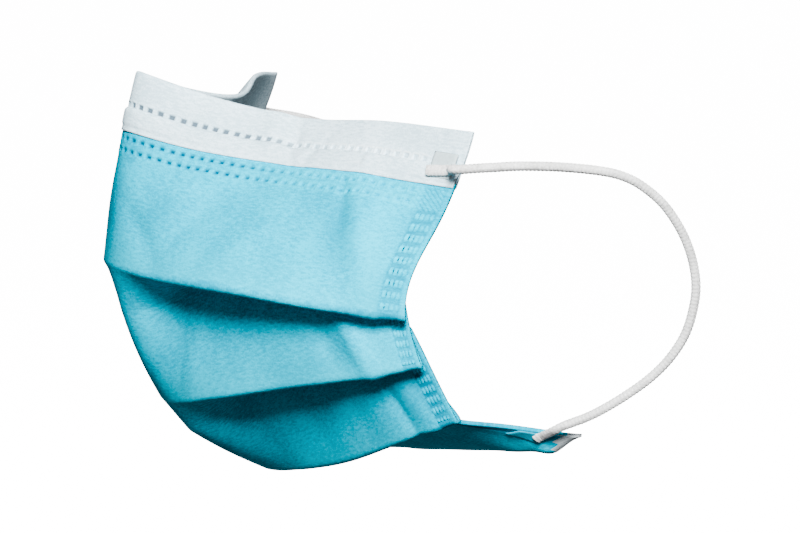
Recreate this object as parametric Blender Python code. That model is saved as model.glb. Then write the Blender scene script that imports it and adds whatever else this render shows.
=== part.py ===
"""Pleated disposable face mask with ear loops, in the shape it has when it is worn.

The origin is the nose bridge, in the middle of the top edge. The mask faces -Y, +Z is up and
the wearer's left is +X. A laminated sheet with three pleats hangs from the top edge in
sections, each drawn from fold to fold: the pleats are closed in the side seals and open over
the mouth. A white band is folded over the top edge and holds a nose wire, and a loop is
welded to the two corners of each side.
"""

import bmesh
import bpy
from math import atan2, cos, pi, radians, sin, sqrt
from mathutils import Vector

# Driving sizes, in metres.
FLAT_WIDTH = 0.175  # side to side, before it is worn
FLAT_HEIGHT = 0.095  # top to bottom edge, with the pleats closed
FACE_DEPTH = 0.080  # nose bridge back to the lower corners, worn
WALL = 0.0010  # the laminate of three layers
LAYER_GAP = 0.0005  # between the layers of a closed pleat
PLEAT_DEPTHS = (0.0105, 0.0090, 0.0105)
CLEARANCE = 0.0003  # between pieces that touch
BAND_HEIGHT = 0.0125
BAND_INSIDE = 0.0060  # the band's short leg, on the face side
BAND_WALL = 0.0010
WIRE_WIDTH = 0.0035
WIRE_THICKNESS = 0.0006
WIRE_LENGTH = 0.122
WIRE_FROM_TOP = 0.0075  # top edge to the wire's upper edge
WELD_LENGTH = 0.0062
WELD_WIDTH = 0.0060
WELD_THICKNESS = 0.0010
WELD_SIDE_MARGIN = 0.0014  # side edge to the weld
WELD_FROM_TOP = 0.0052
WELD_FROM_BOTTOM = 0.0045
LOOP_DIAMETER = 0.0020

HALF_WIDTH = FLAT_WIDTH / 2
FOLD_RADIUS = (WALL + LAYER_GAP) / 2
WIRE_OFFSET = WALL / 2 + CLEARANCE + WIRE_THICKNESS / 2
BAND_OFFSET = WIRE_OFFSET + WIRE_THICKNESS / 2 + CLEARANCE + BAND_WALL / 2
LINING_OFFSET = -(WALL / 2 + CLEARANCE + BAND_WALL / 2)
BAND_WELD_OFFSET = BAND_OFFSET + BAND_WALL / 2 + CLEARANCE + WELD_THICKNESS / 2
BODY_WELD_OFFSET = WALL / 2 + CLEARANCE + WELD_THICKNESS / 2
BODY_TOP = WALL / 2 + CLEARANCE + BAND_WALL  # the body starts this far under the band's fold

# The sections stand at these shares of the half width, from the middle to the side.
STATIONS = (0.0, 0.22, 0.435, 0.72, 1.0)

# A row for each line across the mask, with a value for each station:
# out as shares of HALF_WIDTH, back of FACE_DEPTH and drop of FLAT_HEIGHT.
LINES = {
    "top_edge": {
        "out": (0, 0.137, 0.267, 0.520, 0.769),
        "back": (0, 0.170, 0.359, 0.505, 0.649),
        "drop": (0, 0.052, 0.089, 0.080, 0.086),
    },
    "pleat_1": {
        "out": (0, 0.215, 0.411, 0.643, 0.754),
        "back": (-0.075, -0.023, 0.063, 0.254, 0.475),
        "drop": (0.430, 0.434, 0.431, 0.451, 0.476),
    },
    "pleat_2": {
        "out": (0, 0.217, 0.423, 0.640, 0.731),
        "back": (0.088, 0.135, 0.258, 0.402, 0.539),
        "drop": (0.748, 0.712, 0.665, 0.618, 0.586),
    },
    "pleat_3": {
        "out": (0, 0.200, 0.380, 0.571, 0.697),
        "back": (0.362, 0.400, 0.452, 0.535, 0.645),
        "drop": (0.917, 0.889, 0.846, 0.776, 0.711),
    },
    "bottom_edge": {
        "out": (0, 0.171, 0.320, 0.509, 0.663),
        "back": (0.700, 0.713, 0.756, 0.844, 1.000),
        "drop": (0.872, 0.863, 0.845, 0.819, 0.774),
    },
}
LINE_NAMES = tuple(LINES)

# A row for each panel between two lines: bow is how far it bulges, in degrees at each station,
# and the two curls turn its ends along the side seam. Segments are rows of faces.
PANELS = (
    {"bow": (6, 8, 8, 6, 0), "curl_start": 6, "curl_end": 24, "segments": 9},
    {"bow": (7, 6, 4, 2, 0), "curl_start": -6, "curl_end": 8, "segments": 5},
    {"bow": (4, 4, 3, 2, 0), "curl_start": 2, "curl_end": 4, "segments": 5},
    {"bow": (4, 4, 4, 4, 2), "curl_start": -60, "curl_end": 60, "segments": 8},
)

# How far each pleat is open at each station, in degrees: 0 is folded flat.
PLEAT_OPENINGS = (
    (161, 86, 42, 12, 0),
    (174, 93, 45, 12, 0),
    (14, 12, 8, 4, 0),
)

BODY_COLUMNS = 32
FOLD_SEGMENTS = 3
RETURN_SEGMENTS = 2
HANDLE_SHARE = 0.36  # a panel's curve handles, of its length
CURL_FADE = 5  # power by which the curl dies out towards the middle
PROBE = 0.02  # step, as a share, used to measure directions

# The left loop's route, in metres: out of the upper weld, behind the ear and to the lower weld.
LEFT_LOOP_ROUTE = (
    (0.0684, 0.0452, -0.0148),
    (0.0703, 0.0464, -0.0148),
    (0.0720, 0.0478, -0.0147),
    (0.0729, 0.0505, -0.0145),
    (0.0733, 0.0545, -0.0144),
    (0.0737, 0.0602, -0.0143),
    (0.0745, 0.0684, -0.0147),
    (0.0755, 0.0768, -0.0157),
    (0.0760, 0.0821, -0.0171),
    (0.0763, 0.0864, -0.0195),
    (0.0765, 0.0908, -0.0234),
    (0.0765, 0.0946, -0.0289),
    (0.0760, 0.0971, -0.0345),
    (0.0755, 0.0983, -0.0403),
    (0.0745, 0.0981, -0.0456),
    (0.0733, 0.0968, -0.0510),
    (0.0717, 0.0941, -0.0560),
    (0.0697, 0.0905, -0.0603),
    (0.0671, 0.0859, -0.0643),
    (0.0646, 0.0817, -0.0674),
    (0.0625, 0.0790, -0.0692),
    (0.0609, 0.0769, -0.0703),
    (0.0595, 0.0750, -0.0713),
    (0.0583, 0.0736, -0.0723),
    (0.0569, 0.0727, -0.0736),
    (0.0555, 0.0724, -0.0749),
)

# The right loop hangs a little lower and flares out wider, so the mask hides it from the left.
RIGHT_LOOP_ROUTE = (
    (-0.0684, 0.0452, -0.0148),
    (-0.0703, 0.0464, -0.0151),
    (-0.0720, 0.0478, -0.0158),
    (-0.0735, 0.0520, -0.0170),
    (-0.0760, 0.0605, -0.0188),
    (-0.0798, 0.0685, -0.0213),
    (-0.0838, 0.0765, -0.0246),
    (-0.0872, 0.0838, -0.0292),
    (-0.0896, 0.0896, -0.0352),
    (-0.0908, 0.0928, -0.0418),
    (-0.0909, 0.0936, -0.0486),
    (-0.0894, 0.0924, -0.0552),
    (-0.0860, 0.0896, -0.0608),
    (-0.0813, 0.0866, -0.0649),
    (-0.0758, 0.0836, -0.0678),
    (-0.0700, 0.0808, -0.0698),
    (-0.0650, 0.0781, -0.0709),
    (-0.0605, 0.0753, -0.0715),
    (-0.0583, 0.0736, -0.0723),
    (-0.0569, 0.0727, -0.0736),
    (-0.0555, 0.0724, -0.0749),
)
LOOP_POINTS = 30

COLOURS = {
    "cover_blue": ((0.24, 0.62, 0.75), 0.85),
    "band_white": ((0.82, 0.86, 0.88), 0.80),
    "wire_core": ((0.75, 0.76, 0.78), 0.45),
    "weld_grey": ((0.66, 0.68, 0.69), 0.55),
    "loop_white": ((0.80, 0.80, 0.79), 0.75),
}


def clear_scene():
    for thing in list(bpy.data.objects):
        bpy.data.objects.remove(thing, do_unlink=True)


def material(name):
    """The shared material of that name, made when it is first asked for."""
    found = bpy.data.materials.get(name)
    if found:
        return found
    made = bpy.data.materials.new(name)
    made.use_nodes = True
    colour, roughness = COLOURS[name]
    shader = made.node_tree.nodes["Principled BSDF"]
    shader.inputs["Base Color"].default_value = (*colour, 1)
    shader.inputs["Roughness"].default_value = roughness
    shader.inputs["Metallic"].default_value = 1.0 if name == "wire_core" else 0.0
    return made


def at_share(row, share, mirrored=False):
    """A row of station values read at a share from -1 to 1, smooth through the middle."""
    sign = -1 if mirrored else 1
    places = [-place for place in STATIONS[:0:-1]] + list(STATIONS)
    values = [sign * value for value in row[:0:-1]] + list(row)
    last = len(places) - 1
    left = 0
    while left < last - 1 and share > places[left + 1]:
        left += 1

    def slope(index):
        if index in (0, last):
            start = min(index, last - 1)
            return (values[start + 1] - values[start]) / (places[start + 1] - places[start])
        before = places[index] - places[index - 1]
        after = places[index + 1] - places[index]
        rise_before = (values[index] - values[index - 1]) / before
        rise_after = (values[index + 1] - values[index]) / after
        return (after * rise_before + before * rise_after) / (before + after)

    step = places[left + 1] - places[left]
    t = (share - places[left]) / step
    return (
        (2 * t**3 - 3 * t**2 + 1) * values[left]
        + (t**3 - 2 * t**2 + t) * step * slope(left)
        + (3 * t**2 - 2 * t**3) * values[left + 1]
        + (t**3 - t**2) * step * slope(left + 1)
    )


def on_line(name, share):
    line = LINES[name]
    return Vector((
        HALF_WIDTH * at_share(line["out"], share, mirrored=True),
        FACE_DEPTH * at_share(line["back"], share),
        -FLAT_HEIGHT * at_share(line["drop"], share),
    ))


def along_line(name, share):
    """The direction of a line across the mask, towards the wearer's left."""
    before = max(share - PROBE, -1)
    after = min(share + PROBE, 1)
    return (on_line(name, after) - on_line(name, before)).normalized()


def turned(chord, axis, inward, bow, curl):
    """A panel's direction, turned by bow towards inward and by curl along the axis."""
    bent = cos(bow) * chord + sin(bow) * inward
    return (cos(curl) * bent + sin(curl) * axis).normalized()


def panel_curve(panel, start, end, axis, share):
    """The four control points of a panel in one section, and its two end directions."""
    chord = (end - start).normalized()
    inward = axis.cross(chord).normalized()
    bow = radians(at_share(panel["bow"], share))
    fade = abs(share) ** CURL_FADE * (1 if share > 0 else -1)
    first = turned(chord, axis, -inward, bow, radians(panel["curl_start"]) * fade)
    last = turned(chord, axis, inward, bow, radians(panel["curl_end"]) * fade)
    reach = (end - start).length * HANDLE_SHARE
    return (start, start + reach * first, end - reach * last, end), first, last


def on_curve(points, t):
    a, b, c, d = points
    return (1 - t) ** 3 * a + 3 * (1 - t) ** 2 * t * b + 3 * (1 - t) * t**2 * c + t**3 * d


class Fold:
    """The frame of one fold: how a direction turns there and how far it leans along it."""

    def __init__(self, axis, direction):
        self.axis = axis
        self.lean = direction.dot(axis)
        self.down = (direction - self.lean * axis).normalized()
        self.inward = axis.cross(self.down).normalized()

    def direction(self, turn, lean):
        flat = cos(turn) * self.down + sin(turn) * self.inward
        return sqrt(max(0.0, 1 - lean**2)) * flat + lean * self.axis

    def bend(self, start, turns, leans):
        """Points of a round bend from one turn to another."""
        change = turns[1] - turns[0]
        step = abs(change) * FOLD_RADIUS / FOLD_SEGMENTS
        place = start
        points = []
        for index in range(FOLD_SEGMENTS):
            middle = (index + 0.5) / FOLD_SEGMENTS
            lean = leans[0] + (leans[1] - leans[0]) * middle
            place = place + step * self.direction(turns[0] + change * middle, lean)
            points.append(place)
        return points


def pleat(index, panel, fold, start, end, axis, share):
    """Points from a panel's lower fold up the return and over to the next panel."""
    turn = pi - radians(at_share(PLEAT_OPENINGS[index], share))
    lean = fold.lean * cos(turn)
    lower = fold.bend(start, (0, turn), (fold.lean, lean))
    up = fold.direction(turn, lean)
    next_turn = 0.0
    next_lean = fold.lean
    for _ in range(6):
        bends = FOLD_RADIUS * (turn + abs(turn - next_turn)) / 2
        inner = lower[-1] + up * (PLEAT_DEPTHS[index] - bends)
        upper = fold.bend(inner, (turn, next_turn), (lean, next_lean))
        curve, first, last = panel_curve(panel, upper[-1], end, axis, share)
        next_turn = atan2(first.dot(fold.inward), first.dot(fold.down))
        next_lean = first.dot(fold.axis)
    straight = [lower[-1].lerp(inner, (row + 1) / RETURN_SEGMENTS) for row in range(RETURN_SEGMENTS)]
    return lower + straight + upper, curve, last


def section(share):
    """The curves of the four panels at a share, and the pleat points before each."""
    start = on_line(LINE_NAMES[0], share)
    curves = []
    pleats = []
    fold = None
    for index, panel in enumerate(PANELS):
        line = LINE_NAMES[index + 1]
        end = on_line(line, share)
        axis = along_line(line, share)
        if fold is None:
            curve, _, last = panel_curve(panel, start, end, axis, share)
            pleats.append([])
        else:
            points, curve, last = pleat(index - 1, panel, fold, curves[-1][3], end, axis, share)
            pleats.append(points)
        curves.append(curve)
        fold = Fold(axis, last)
    return curves, pleats


def curve_length(curve):
    steps = 12
    points = [on_curve(curve, step / steps) for step in range(steps + 1)]
    return sum((b - a).length for a, b in zip(points, points[1:]))


def on_panel(index, share, down, offset=0.0):
    """A point of a panel's middle surface, down metres along it, moved outwards by offset."""

    def place(at, metres):
        curve = section(at)[0][index]
        return on_curve(curve, metres / curve_length(curve))

    here = place(share, down)
    if offset == 0.0:
        return here
    across = place(min(share + PROBE, 1), down) - place(max(share - PROBE, -1), down)
    nudge = PROBE * HALF_WIDTH
    along = place(share, down + nudge) - place(share, down - nudge)
    return here + offset * along.cross(across).normalized()


def sheet(name, columns, rows, thickness, colour, place):
    """A wall of even thickness on a grid whose points are moved by place(column, row)."""
    mesh = bpy.data.meshes.new(name)
    grid = bmesh.new()
    bmesh.ops.create_grid(grid, x_segments=columns, y_segments=rows, size=0.5)
    for vertex in grid.verts:
        column = round((vertex.co.x + 0.5) * columns)
        row = round((0.5 - vertex.co.y) * rows)
        vertex.co = place(column, row)
    grid.to_mesh(mesh)
    grid.free()
    thing = bpy.data.objects.new(name, mesh)
    bpy.context.scene.collection.objects.link(thing)
    mesh.materials.append(material(colour))
    mesh.shade_smooth()
    wall = thing.modifiers.new("wall", "SOLIDIFY")
    wall.thickness = thickness
    wall.offset = 0.0
    return thing


def share_at(column, columns, half_span=1.0):
    return half_span * (2 * column / columns - 1)


def pleated_body():
    """The laminated sheet with its three pleats, from under the band to the bottom edge."""
    columns = []
    for column in range(BODY_COLUMNS + 1):
        curves, pleats = section(share_at(column, BODY_COLUMNS))
        points = []
        for index, panel in enumerate(PANELS):
            points += pleats[index]
            first = 0 if index == 0 else 1
            begin = BODY_TOP / curve_length(curves[0]) if index == 0 else 0.0
            for row in range(first, panel["segments"] + 1):
                share = begin + (1 - begin) * row / panel["segments"]
                points.append(on_curve(curves[index], share))
        columns.append(points)
    rows = len(columns[0]) - 1
    sheet("pleated_body", BODY_COLUMNS, rows, WALL, "cover_blue", lambda c, r: columns[c][r])


def top_band():
    """The white band: down the outside, round the top edge and a little way down the inside."""
    leg_rows = 4
    bend_rows = 4
    inside_rows = 2
    bend_middle = (BAND_OFFSET + LINING_OFFSET) / 2
    bend_radius = (BAND_OFFSET - LINING_OFFSET) / 2
    bend_down = BODY_TOP - CLEARANCE - BAND_WALL / 2 + WALL / 2

    def place(column, row):
        share = share_at(column, BODY_COLUMNS)
        if row <= leg_rows:
            down = BAND_HEIGHT - (BAND_HEIGHT - bend_down) * row / leg_rows
            return on_panel(0, share, down, BAND_OFFSET)
        if row <= leg_rows + bend_rows:
            angle = pi * (row - leg_rows) / bend_rows
            lifted = bend_down - bend_down * sin(angle)
            return on_panel(0, share, lifted, bend_middle + bend_radius * cos(angle))
        down = bend_down + (BAND_INSIDE - bend_down) * (row - leg_rows - bend_rows) / inside_rows
        return on_panel(0, share, down, LINING_OFFSET)

    rows = leg_rows + bend_rows + inside_rows
    sheet("top_band", BODY_COLUMNS, rows, BAND_WALL, "band_white", place)


def nose_wire():
    """The flat wire in the band, bent over the nose bridge."""
    columns = 26
    rows = 1
    half_span = WIRE_LENGTH / FLAT_WIDTH

    def place(column, row):
        down = WIRE_FROM_TOP + WIRE_WIDTH * row / rows
        return on_panel(0, share_at(column, columns, half_span), down, WIRE_OFFSET)

    sheet("nose_wire", columns, rows, WIRE_THICKNESS, "wire_core", place)


def share_from_side(panel, down, metres):
    """The share that lies that many metres in from the side edge, along the cloth."""
    step = 0.01
    share = 1.0
    walked = 0.0
    here = on_panel(panel, share, down)
    while True:
        there = on_panel(panel, share - step, down)
        piece = (there - here).length
        if walked + piece > metres:
            return share - step * (metres - walked) / piece
        walked += piece
        share -= step
        here = there


def loop_weld(name, side, panel, from_start, offset):
    """A loop's end, pressed flat where it is welded near a corner."""
    columns = 3
    rows = 2

    def place(column, row):
        down = from_start + WELD_WIDTH * row / rows
        across = column / columns if side > 0 else 1 - column / columns
        inward = WELD_SIDE_MARGIN + WELD_LENGTH * (1 - across)
        return on_panel(panel, side * share_from_side(panel, down, inward), down, offset)

    sheet(name, columns, rows, WELD_THICKNESS, "weld_grey", place)


def loop_welds():
    bottom_panel = len(PANELS) - 1
    for side, word in ((1, "left"), (-1, "right")):
        loop_weld(f"loop_weld_top_{word}", side, 0, WELD_FROM_TOP, BAND_WELD_OFFSET)
        length = curve_length(section(side)[0][bottom_panel])
        start = length - WELD_FROM_BOTTOM - WELD_WIDTH
        loop_weld(f"loop_weld_bottom_{word}", side, bottom_panel, start, BODY_WELD_OFFSET)


def smooth_route(route, count):
    """Evenly spaced points on a smooth curve through a route's points."""
    points = [Vector(point) for point in route]
    points = [2 * points[0] - points[1]] + points + [2 * points[-1] - points[-2]]
    fine = []
    per_span = 16
    for a, b, c, d in zip(points, points[1:], points[2:], points[3:]):
        for step in range(per_span):
            t = step / per_span
            fine.append(0.5 * (
                2 * b + (c - a) * t + (2 * a - 5 * b + 4 * c - d) * t**2
                + (3 * b - a - 3 * c + d) * t**3
            ))
    fine.append(points[-2])
    lengths = [0.0]
    for a, b in zip(fine, fine[1:]):
        lengths.append(lengths[-1] + (b - a).length)
    spaced = []
    place = 0
    for index in range(count):
        wanted = lengths[-1] * index / (count - 1)
        while place < len(fine) - 2 and lengths[place + 1] < wanted:
            place += 1
        share = (wanted - lengths[place]) / (lengths[place + 1] - lengths[place])
        spaced.append(fine[place].lerp(fine[place + 1], share))
    return spaced


def ear_loop(name, route):
    """An elastic loop, as a tube along its route."""
    curve = bpy.data.curves.new(name, "CURVE")
    curve.dimensions = "3D"
    curve.bevel_depth = LOOP_DIAMETER / 2
    curve.bevel_resolution = 2
    curve.use_fill_caps = True
    spline = curve.splines.new("POLY")
    spline.points.add(LOOP_POINTS - 1)
    for point, place in zip(spline.points, smooth_route(route, LOOP_POINTS)):
        point.co = (*place, 1)
    curve.materials.append(material("loop_white"))
    thing = bpy.data.objects.new(name, curve)
    bpy.context.scene.collection.objects.link(thing)


def face_mask():
    clear_scene()
    pleated_body()
    top_band()
    nose_wire()
    loop_welds()
    ear_loop("ear_loop_left", LEFT_LOOP_ROUTE)
    ear_loop("ear_loop_right", RIGHT_LOOP_ROUTE)


face_mask()
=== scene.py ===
# %% [markdown]
# # A pleated face mask in its worn shape
# A disposable mask is a flat sheet of thin nonwoven cloth. It is folded into three pleats,
# welded along its sides, and bent over the nose by a flat wire in its white band.
# This lesson makes every piece from its flat cut and then lays it on the worn shape.

# %% The frame and the tools
from math import atan2, cos, pi, radians, sin, sqrt

import bpy
import numpy as np
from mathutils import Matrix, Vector


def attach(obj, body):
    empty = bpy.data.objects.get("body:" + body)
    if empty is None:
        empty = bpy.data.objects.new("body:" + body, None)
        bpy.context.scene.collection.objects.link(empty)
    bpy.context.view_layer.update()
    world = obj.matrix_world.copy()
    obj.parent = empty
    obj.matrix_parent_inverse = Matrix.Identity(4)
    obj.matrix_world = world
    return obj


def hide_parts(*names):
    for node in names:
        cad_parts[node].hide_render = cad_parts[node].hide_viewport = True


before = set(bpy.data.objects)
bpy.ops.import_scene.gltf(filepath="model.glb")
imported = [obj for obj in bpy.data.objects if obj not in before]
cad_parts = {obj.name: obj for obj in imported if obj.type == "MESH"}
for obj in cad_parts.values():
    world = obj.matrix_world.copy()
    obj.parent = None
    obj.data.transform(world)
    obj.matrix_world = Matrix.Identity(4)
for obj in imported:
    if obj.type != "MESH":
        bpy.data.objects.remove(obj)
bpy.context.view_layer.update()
print("CAD nodes:", ", ".join(sorted(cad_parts)))

# %% [markdown]
# ## The camera
# The mask is seen from its left side and a little from above, through a long lens, so that
# near and far parts differ little in size. The camera comes first, because all else is judged
# through it. A look with more contrast keeps the cyan of the cloth as strong as in the photo.

# %% Camera
MM = 0.001
VIEW_AZIMUTH = 71
VIEW_ELEVATION = 7.8
camera_data = bpy.data.cameras.new("camera")
camera_data.lens = 199.2
camera_data.sensor_width = 36
camera = bpy.data.objects.new("camera", camera_data)
camera.location = (0.9136, -0.2551, 0.0879)
camera.rotation_euler = (radians(90 - VIEW_ELEVATION), 0, radians(VIEW_AZIMUTH))
bpy.context.scene.collection.objects.link(camera)
bpy.context.scene.camera = camera
bpy.context.scene.view_settings.look = "AgX - High Contrast"
print("camera", [round(value, 3) for value in camera.location])

# %% [markdown]
# ## The worn shape
# The cloth hangs in sections from the top edge, and each section runs from fold to fold. Five
# lines cross the mask, and each has its place at five stations between the middle and the side.
# The same lines shape the solids of the model, so the fine cloth lies where they lie.

# %% Sizes and lines
HALF_WIDTH = 0.0875
FACE_DEPTH = 0.080
FLAT_HEIGHT = 0.095
FOLD_RADIUS = 0.00075
PLEAT_DEPTHS = (0.0105, 0.0090, 0.0105)
STATIONS = (0.0, 0.22, 0.435, 0.72, 1.0)
LINES = {
    "top_edge": {
        "out": (0, 0.137, 0.267, 0.520, 0.769),
        "back": (0, 0.170, 0.359, 0.505, 0.649),
        "drop": (0, 0.052, 0.089, 0.080, 0.086),
    },
    "pleat_1": {
        "out": (0, 0.215, 0.411, 0.643, 0.754),
        "back": (-0.075, -0.023, 0.063, 0.254, 0.475),
        "drop": (0.430, 0.434, 0.431, 0.451, 0.476),
    },
    "pleat_2": {
        "out": (0, 0.217, 0.423, 0.640, 0.731),
        "back": (0.088, 0.135, 0.258, 0.402, 0.539),
        "drop": (0.748, 0.712, 0.665, 0.618, 0.586),
    },
    "pleat_3": {
        "out": (0, 0.200, 0.380, 0.571, 0.697),
        "back": (0.362, 0.400, 0.452, 0.535, 0.645),
        "drop": (0.917, 0.889, 0.846, 0.776, 0.711),
    },
    "bottom_edge": {
        "out": (0, 0.171, 0.320, 0.509, 0.663),
        "back": (0.700, 0.713, 0.756, 0.844, 1.000),
        "drop": (0.872, 0.863, 0.845, 0.819, 0.774),
    },
}
LINE_NAMES = tuple(LINES)
PANELS = (
    {"bow": (6, 8, 8, 6, 0), "curl_start": 6, "curl_end": 24},
    {"bow": (7, 6, 4, 2, 0), "curl_start": -6, "curl_end": 8},
    {"bow": (4, 4, 3, 2, 0), "curl_start": 2, "curl_end": 4},
    {"bow": (4, 4, 4, 4, 2), "curl_start": -60, "curl_end": 60},
)
PLEAT_OPENINGS = ((161, 86, 42, 12, 0), (174, 93, 45, 12, 0), (14, 12, 8, 4, 0))
FOLD_SEGMENTS = 8
HANDLE_SHARE = 0.36  # a panel's curve handles, of its length
CURL_FADE = 5  # power by which the curl dies out towards the middle
PROBE = 0.02  # step, as a share, used to measure directions
CURVE_POINTS = 33
print("lines:", ", ".join(LINE_NAMES))


# %% Reading the lines
def at_share(row, share, mirrored=False):
    """A row of station values at a share from -1 to 1, smooth through the middle."""
    sign = -1 if mirrored else 1
    places = [-place for place in STATIONS[:0:-1]] + list(STATIONS)
    values = [sign * value for value in row[:0:-1]] + list(row)
    last = len(places) - 1
    left = 0
    while left < last - 1 and share > places[left + 1]:
        left += 1

    def slope(index):
        if index in (0, last):
            start = min(index, last - 1)
            return (values[start + 1] - values[start]) / (places[start + 1] - places[start])
        before = places[index] - places[index - 1]
        after = places[index + 1] - places[index]
        rise_before = (values[index] - values[index - 1]) / before
        rise_after = (values[index + 1] - values[index]) / after
        return (after * rise_before + before * rise_after) / (before + after)

    step = places[left + 1] - places[left]
    t = (share - places[left]) / step
    return (
        (2 * t**3 - 3 * t**2 + 1) * values[left]
        + (t**3 - 2 * t**2 + t) * step * slope(left)
        + (3 * t**2 - 2 * t**3) * values[left + 1]
        + (t**3 - t**2) * step * slope(left + 1)
    )


def on_line(name, share):
    line = LINES[name]
    return Vector((
        HALF_WIDTH * at_share(line["out"], share, mirrored=True),
        FACE_DEPTH * at_share(line["back"], share),
        -FLAT_HEIGHT * at_share(line["drop"], share),
    ))


def along_line(name, share):
    ahead = on_line(name, min(share + PROBE, 1))
    return (ahead - on_line(name, max(share - PROBE, -1))).normalized()


print("nose bridge", on_line("top_edge", 0), "corner", on_line("bottom_edge", 1))


# %% [markdown]
# A panel between two folds is one smooth curve. A pleat is a fold, a short return that runs
# back up behind the panel, and a second fold. The pleats are closed at the sides, where the
# layers are welded, and open in the middle, where the nose and mouth push them out.

# %% Panels and pleats
def turned(chord, axis, inward, bow, curl):
    bent = cos(bow) * chord + sin(bow) * inward
    return (cos(curl) * bent + sin(curl) * axis).normalized()


def panel_curve(panel, start, end, axis, share):
    """The four control points of a panel in one section, and its two end directions."""
    chord = (end - start).normalized()
    inward = axis.cross(chord).normalized()
    bow = radians(at_share(panel["bow"], share))
    fade = abs(share) ** CURL_FADE * (1 if share > 0 else -1)
    first = turned(chord, axis, -inward, bow, radians(panel["curl_start"]) * fade)
    last = turned(chord, axis, inward, bow, radians(panel["curl_end"]) * fade)
    reach = (end - start).length * HANDLE_SHARE
    return (start, start + reach * first, end - reach * last, end), first, last


class Fold:
    """The frame of one fold: how a direction turns there and how far it leans along it."""

    def __init__(self, axis, direction):
        self.axis = axis
        self.lean = direction.dot(axis)
        self.down = (direction - self.lean * axis).normalized()
        self.inward = axis.cross(self.down).normalized()

    def direction(self, turn, lean):
        flat = cos(turn) * self.down + sin(turn) * self.inward
        return sqrt(max(0.0, 1 - lean**2)) * flat + lean * self.axis

    def bend(self, start, turns, leans):
        change = turns[1] - turns[0]
        step = abs(change) * FOLD_RADIUS / FOLD_SEGMENTS
        points = []
        for index in range(FOLD_SEGMENTS):
            middle = (index + 0.5) / FOLD_SEGMENTS
            lean = leans[0] + (leans[1] - leans[0]) * middle
            start = start + step * self.direction(turns[0] + change * middle, lean)
            points.append(start)
        return points


def pleat(index, panel, fold, start, end, axis, share):
    """Points from a panel's lower fold up the return and over to the next panel's curve."""
    turn = pi - radians(at_share(PLEAT_OPENINGS[index], share))
    lean = fold.lean * cos(turn)
    lower = fold.bend(start, (0, turn), (fold.lean, lean))
    up = fold.direction(turn, lean)
    next_turn = 0.0
    next_lean = fold.lean
    for _ in range(6):
        bends = FOLD_RADIUS * (turn + abs(turn - next_turn)) / 2
        inner = lower[-1] + up * (PLEAT_DEPTHS[index] - bends)
        upper = fold.bend(inner, (turn, next_turn), (lean, next_lean))
        curve, first, last = panel_curve(panel, upper[-1], end, axis, share)
        next_turn = atan2(first.dot(fold.inward), first.dot(fold.down))
        next_lean = first.dot(fold.axis)
    return lower + [inner] + upper, curve, last


def section(share):
    """The seven stretches of a section in turn: panel, pleat, panel, pleat and so on."""
    start = on_line(LINE_NAMES[0], share)
    stretches = []
    fold = None
    t = np.linspace(0, 1, CURVE_POINTS)[:, None]
    for index, panel in enumerate(PANELS):
        end = on_line(LINE_NAMES[index + 1], share)
        axis = along_line(LINE_NAMES[index + 1], share)
        if fold is None:
            curve, _, last = panel_curve(panel, start, end, axis, share)
        else:
            points, curve, last = pleat(index - 1, panel, fold, curve[3], end, axis, share)
            stretches.append(np.array([fold_start, *points]))
        a, b, c, d = (np.array(point) for point in curve)
        stretches.append((1 - t)**3 * a + 3 * (1 - t)**2 * t * b + 3 * (1 - t) * t**2 * c + t**3 * d)
        fold = Fold(axis, last)
        fold_start = curve[3]
    return stretches


print("stretches in a section:", len(section(0.5)))

# %% [markdown]
# ## The cloth as a map
# Every piece is cut flat, as in the factory. Its flat place has two numbers: `u`, across from
# the middle, and `v`, down along the cloth from the top edge. One table turns a flat place into
# its place on the worn mask, so that cloth, band, welds and marks all stay on each other.

# %% From flat places to worn places
# flat lengths of the seven stretches (mm), near their average lengths on the worn mask
STRETCHES = (41.4, 11.6, 22.6, 10.2, 22.4, 11.8, 31.0)
STRETCH_ENDS = np.concatenate([[0], np.cumsum(STRETCHES)]) * MM
ACROSS = 351
STRETCH_ROWS = (84, 48, 46, 48, 46, 48, 64)


def evenly(points, count):
    """As many points as asked for, at even distances along a line of points."""
    lengths = np.concatenate([[0], np.cumsum(np.linalg.norm(np.diff(points, axis=0), axis=1))])
    wanted = np.linspace(0, lengths[-1], count)
    return np.stack([np.interp(wanted, lengths, points[:, axis]) for axis in range(3)], axis=1)


def build_map():
    """The table's flat v values, and the worn place of each of its flat places."""
    table_v = [np.linspace(STRETCH_ENDS[0], STRETCH_ENDS[1], STRETCH_ROWS[0])]
    for index in range(1, len(STRETCHES)):
        rows = np.linspace(STRETCH_ENDS[index], STRETCH_ENDS[index + 1], STRETCH_ROWS[index])
        table_v.append(rows[1:])
    columns = []
    for share in np.linspace(-1, 1, ACROSS):
        parts = [evenly(points, STRETCH_ROWS[k]) for k, points in enumerate(section(share))]
        columns.append(np.concatenate([parts[0]] + [part[1:] for part in parts[1:]]))
    return np.concatenate(table_v), np.array(columns)


MAP_V, MAP = build_map()
DOWN = np.gradient(MAP, axis=1)
OVER = np.gradient(MAP, axis=0)
NORMALS = np.cross(DOWN, OVER)
NORMALS /= np.linalg.norm(NORMALS, axis=2, keepdims=True)


def read_map(table, u, v):
    """Values of a table at flat places, each blended from the four places round it."""
    across = np.clip((np.asarray(u) / HALF_WIDTH + 1) / 2 * (ACROSS - 1), 0, ACROSS - 1.001)
    down = np.interp(v, MAP_V, np.arange(len(MAP_V)))
    down = np.clip(down, 0, len(MAP_V) - 1.001)
    i = across.astype(int)
    j = down.astype(int)
    s = (across - i)[:, None]
    t = (down - j)[:, None]
    upper = table[i, j] * (1 - s) + table[i + 1, j] * s
    lower = table[i, j + 1] * (1 - s) + table[i + 1, j + 1] * s
    return upper * (1 - t) + lower * t


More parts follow.
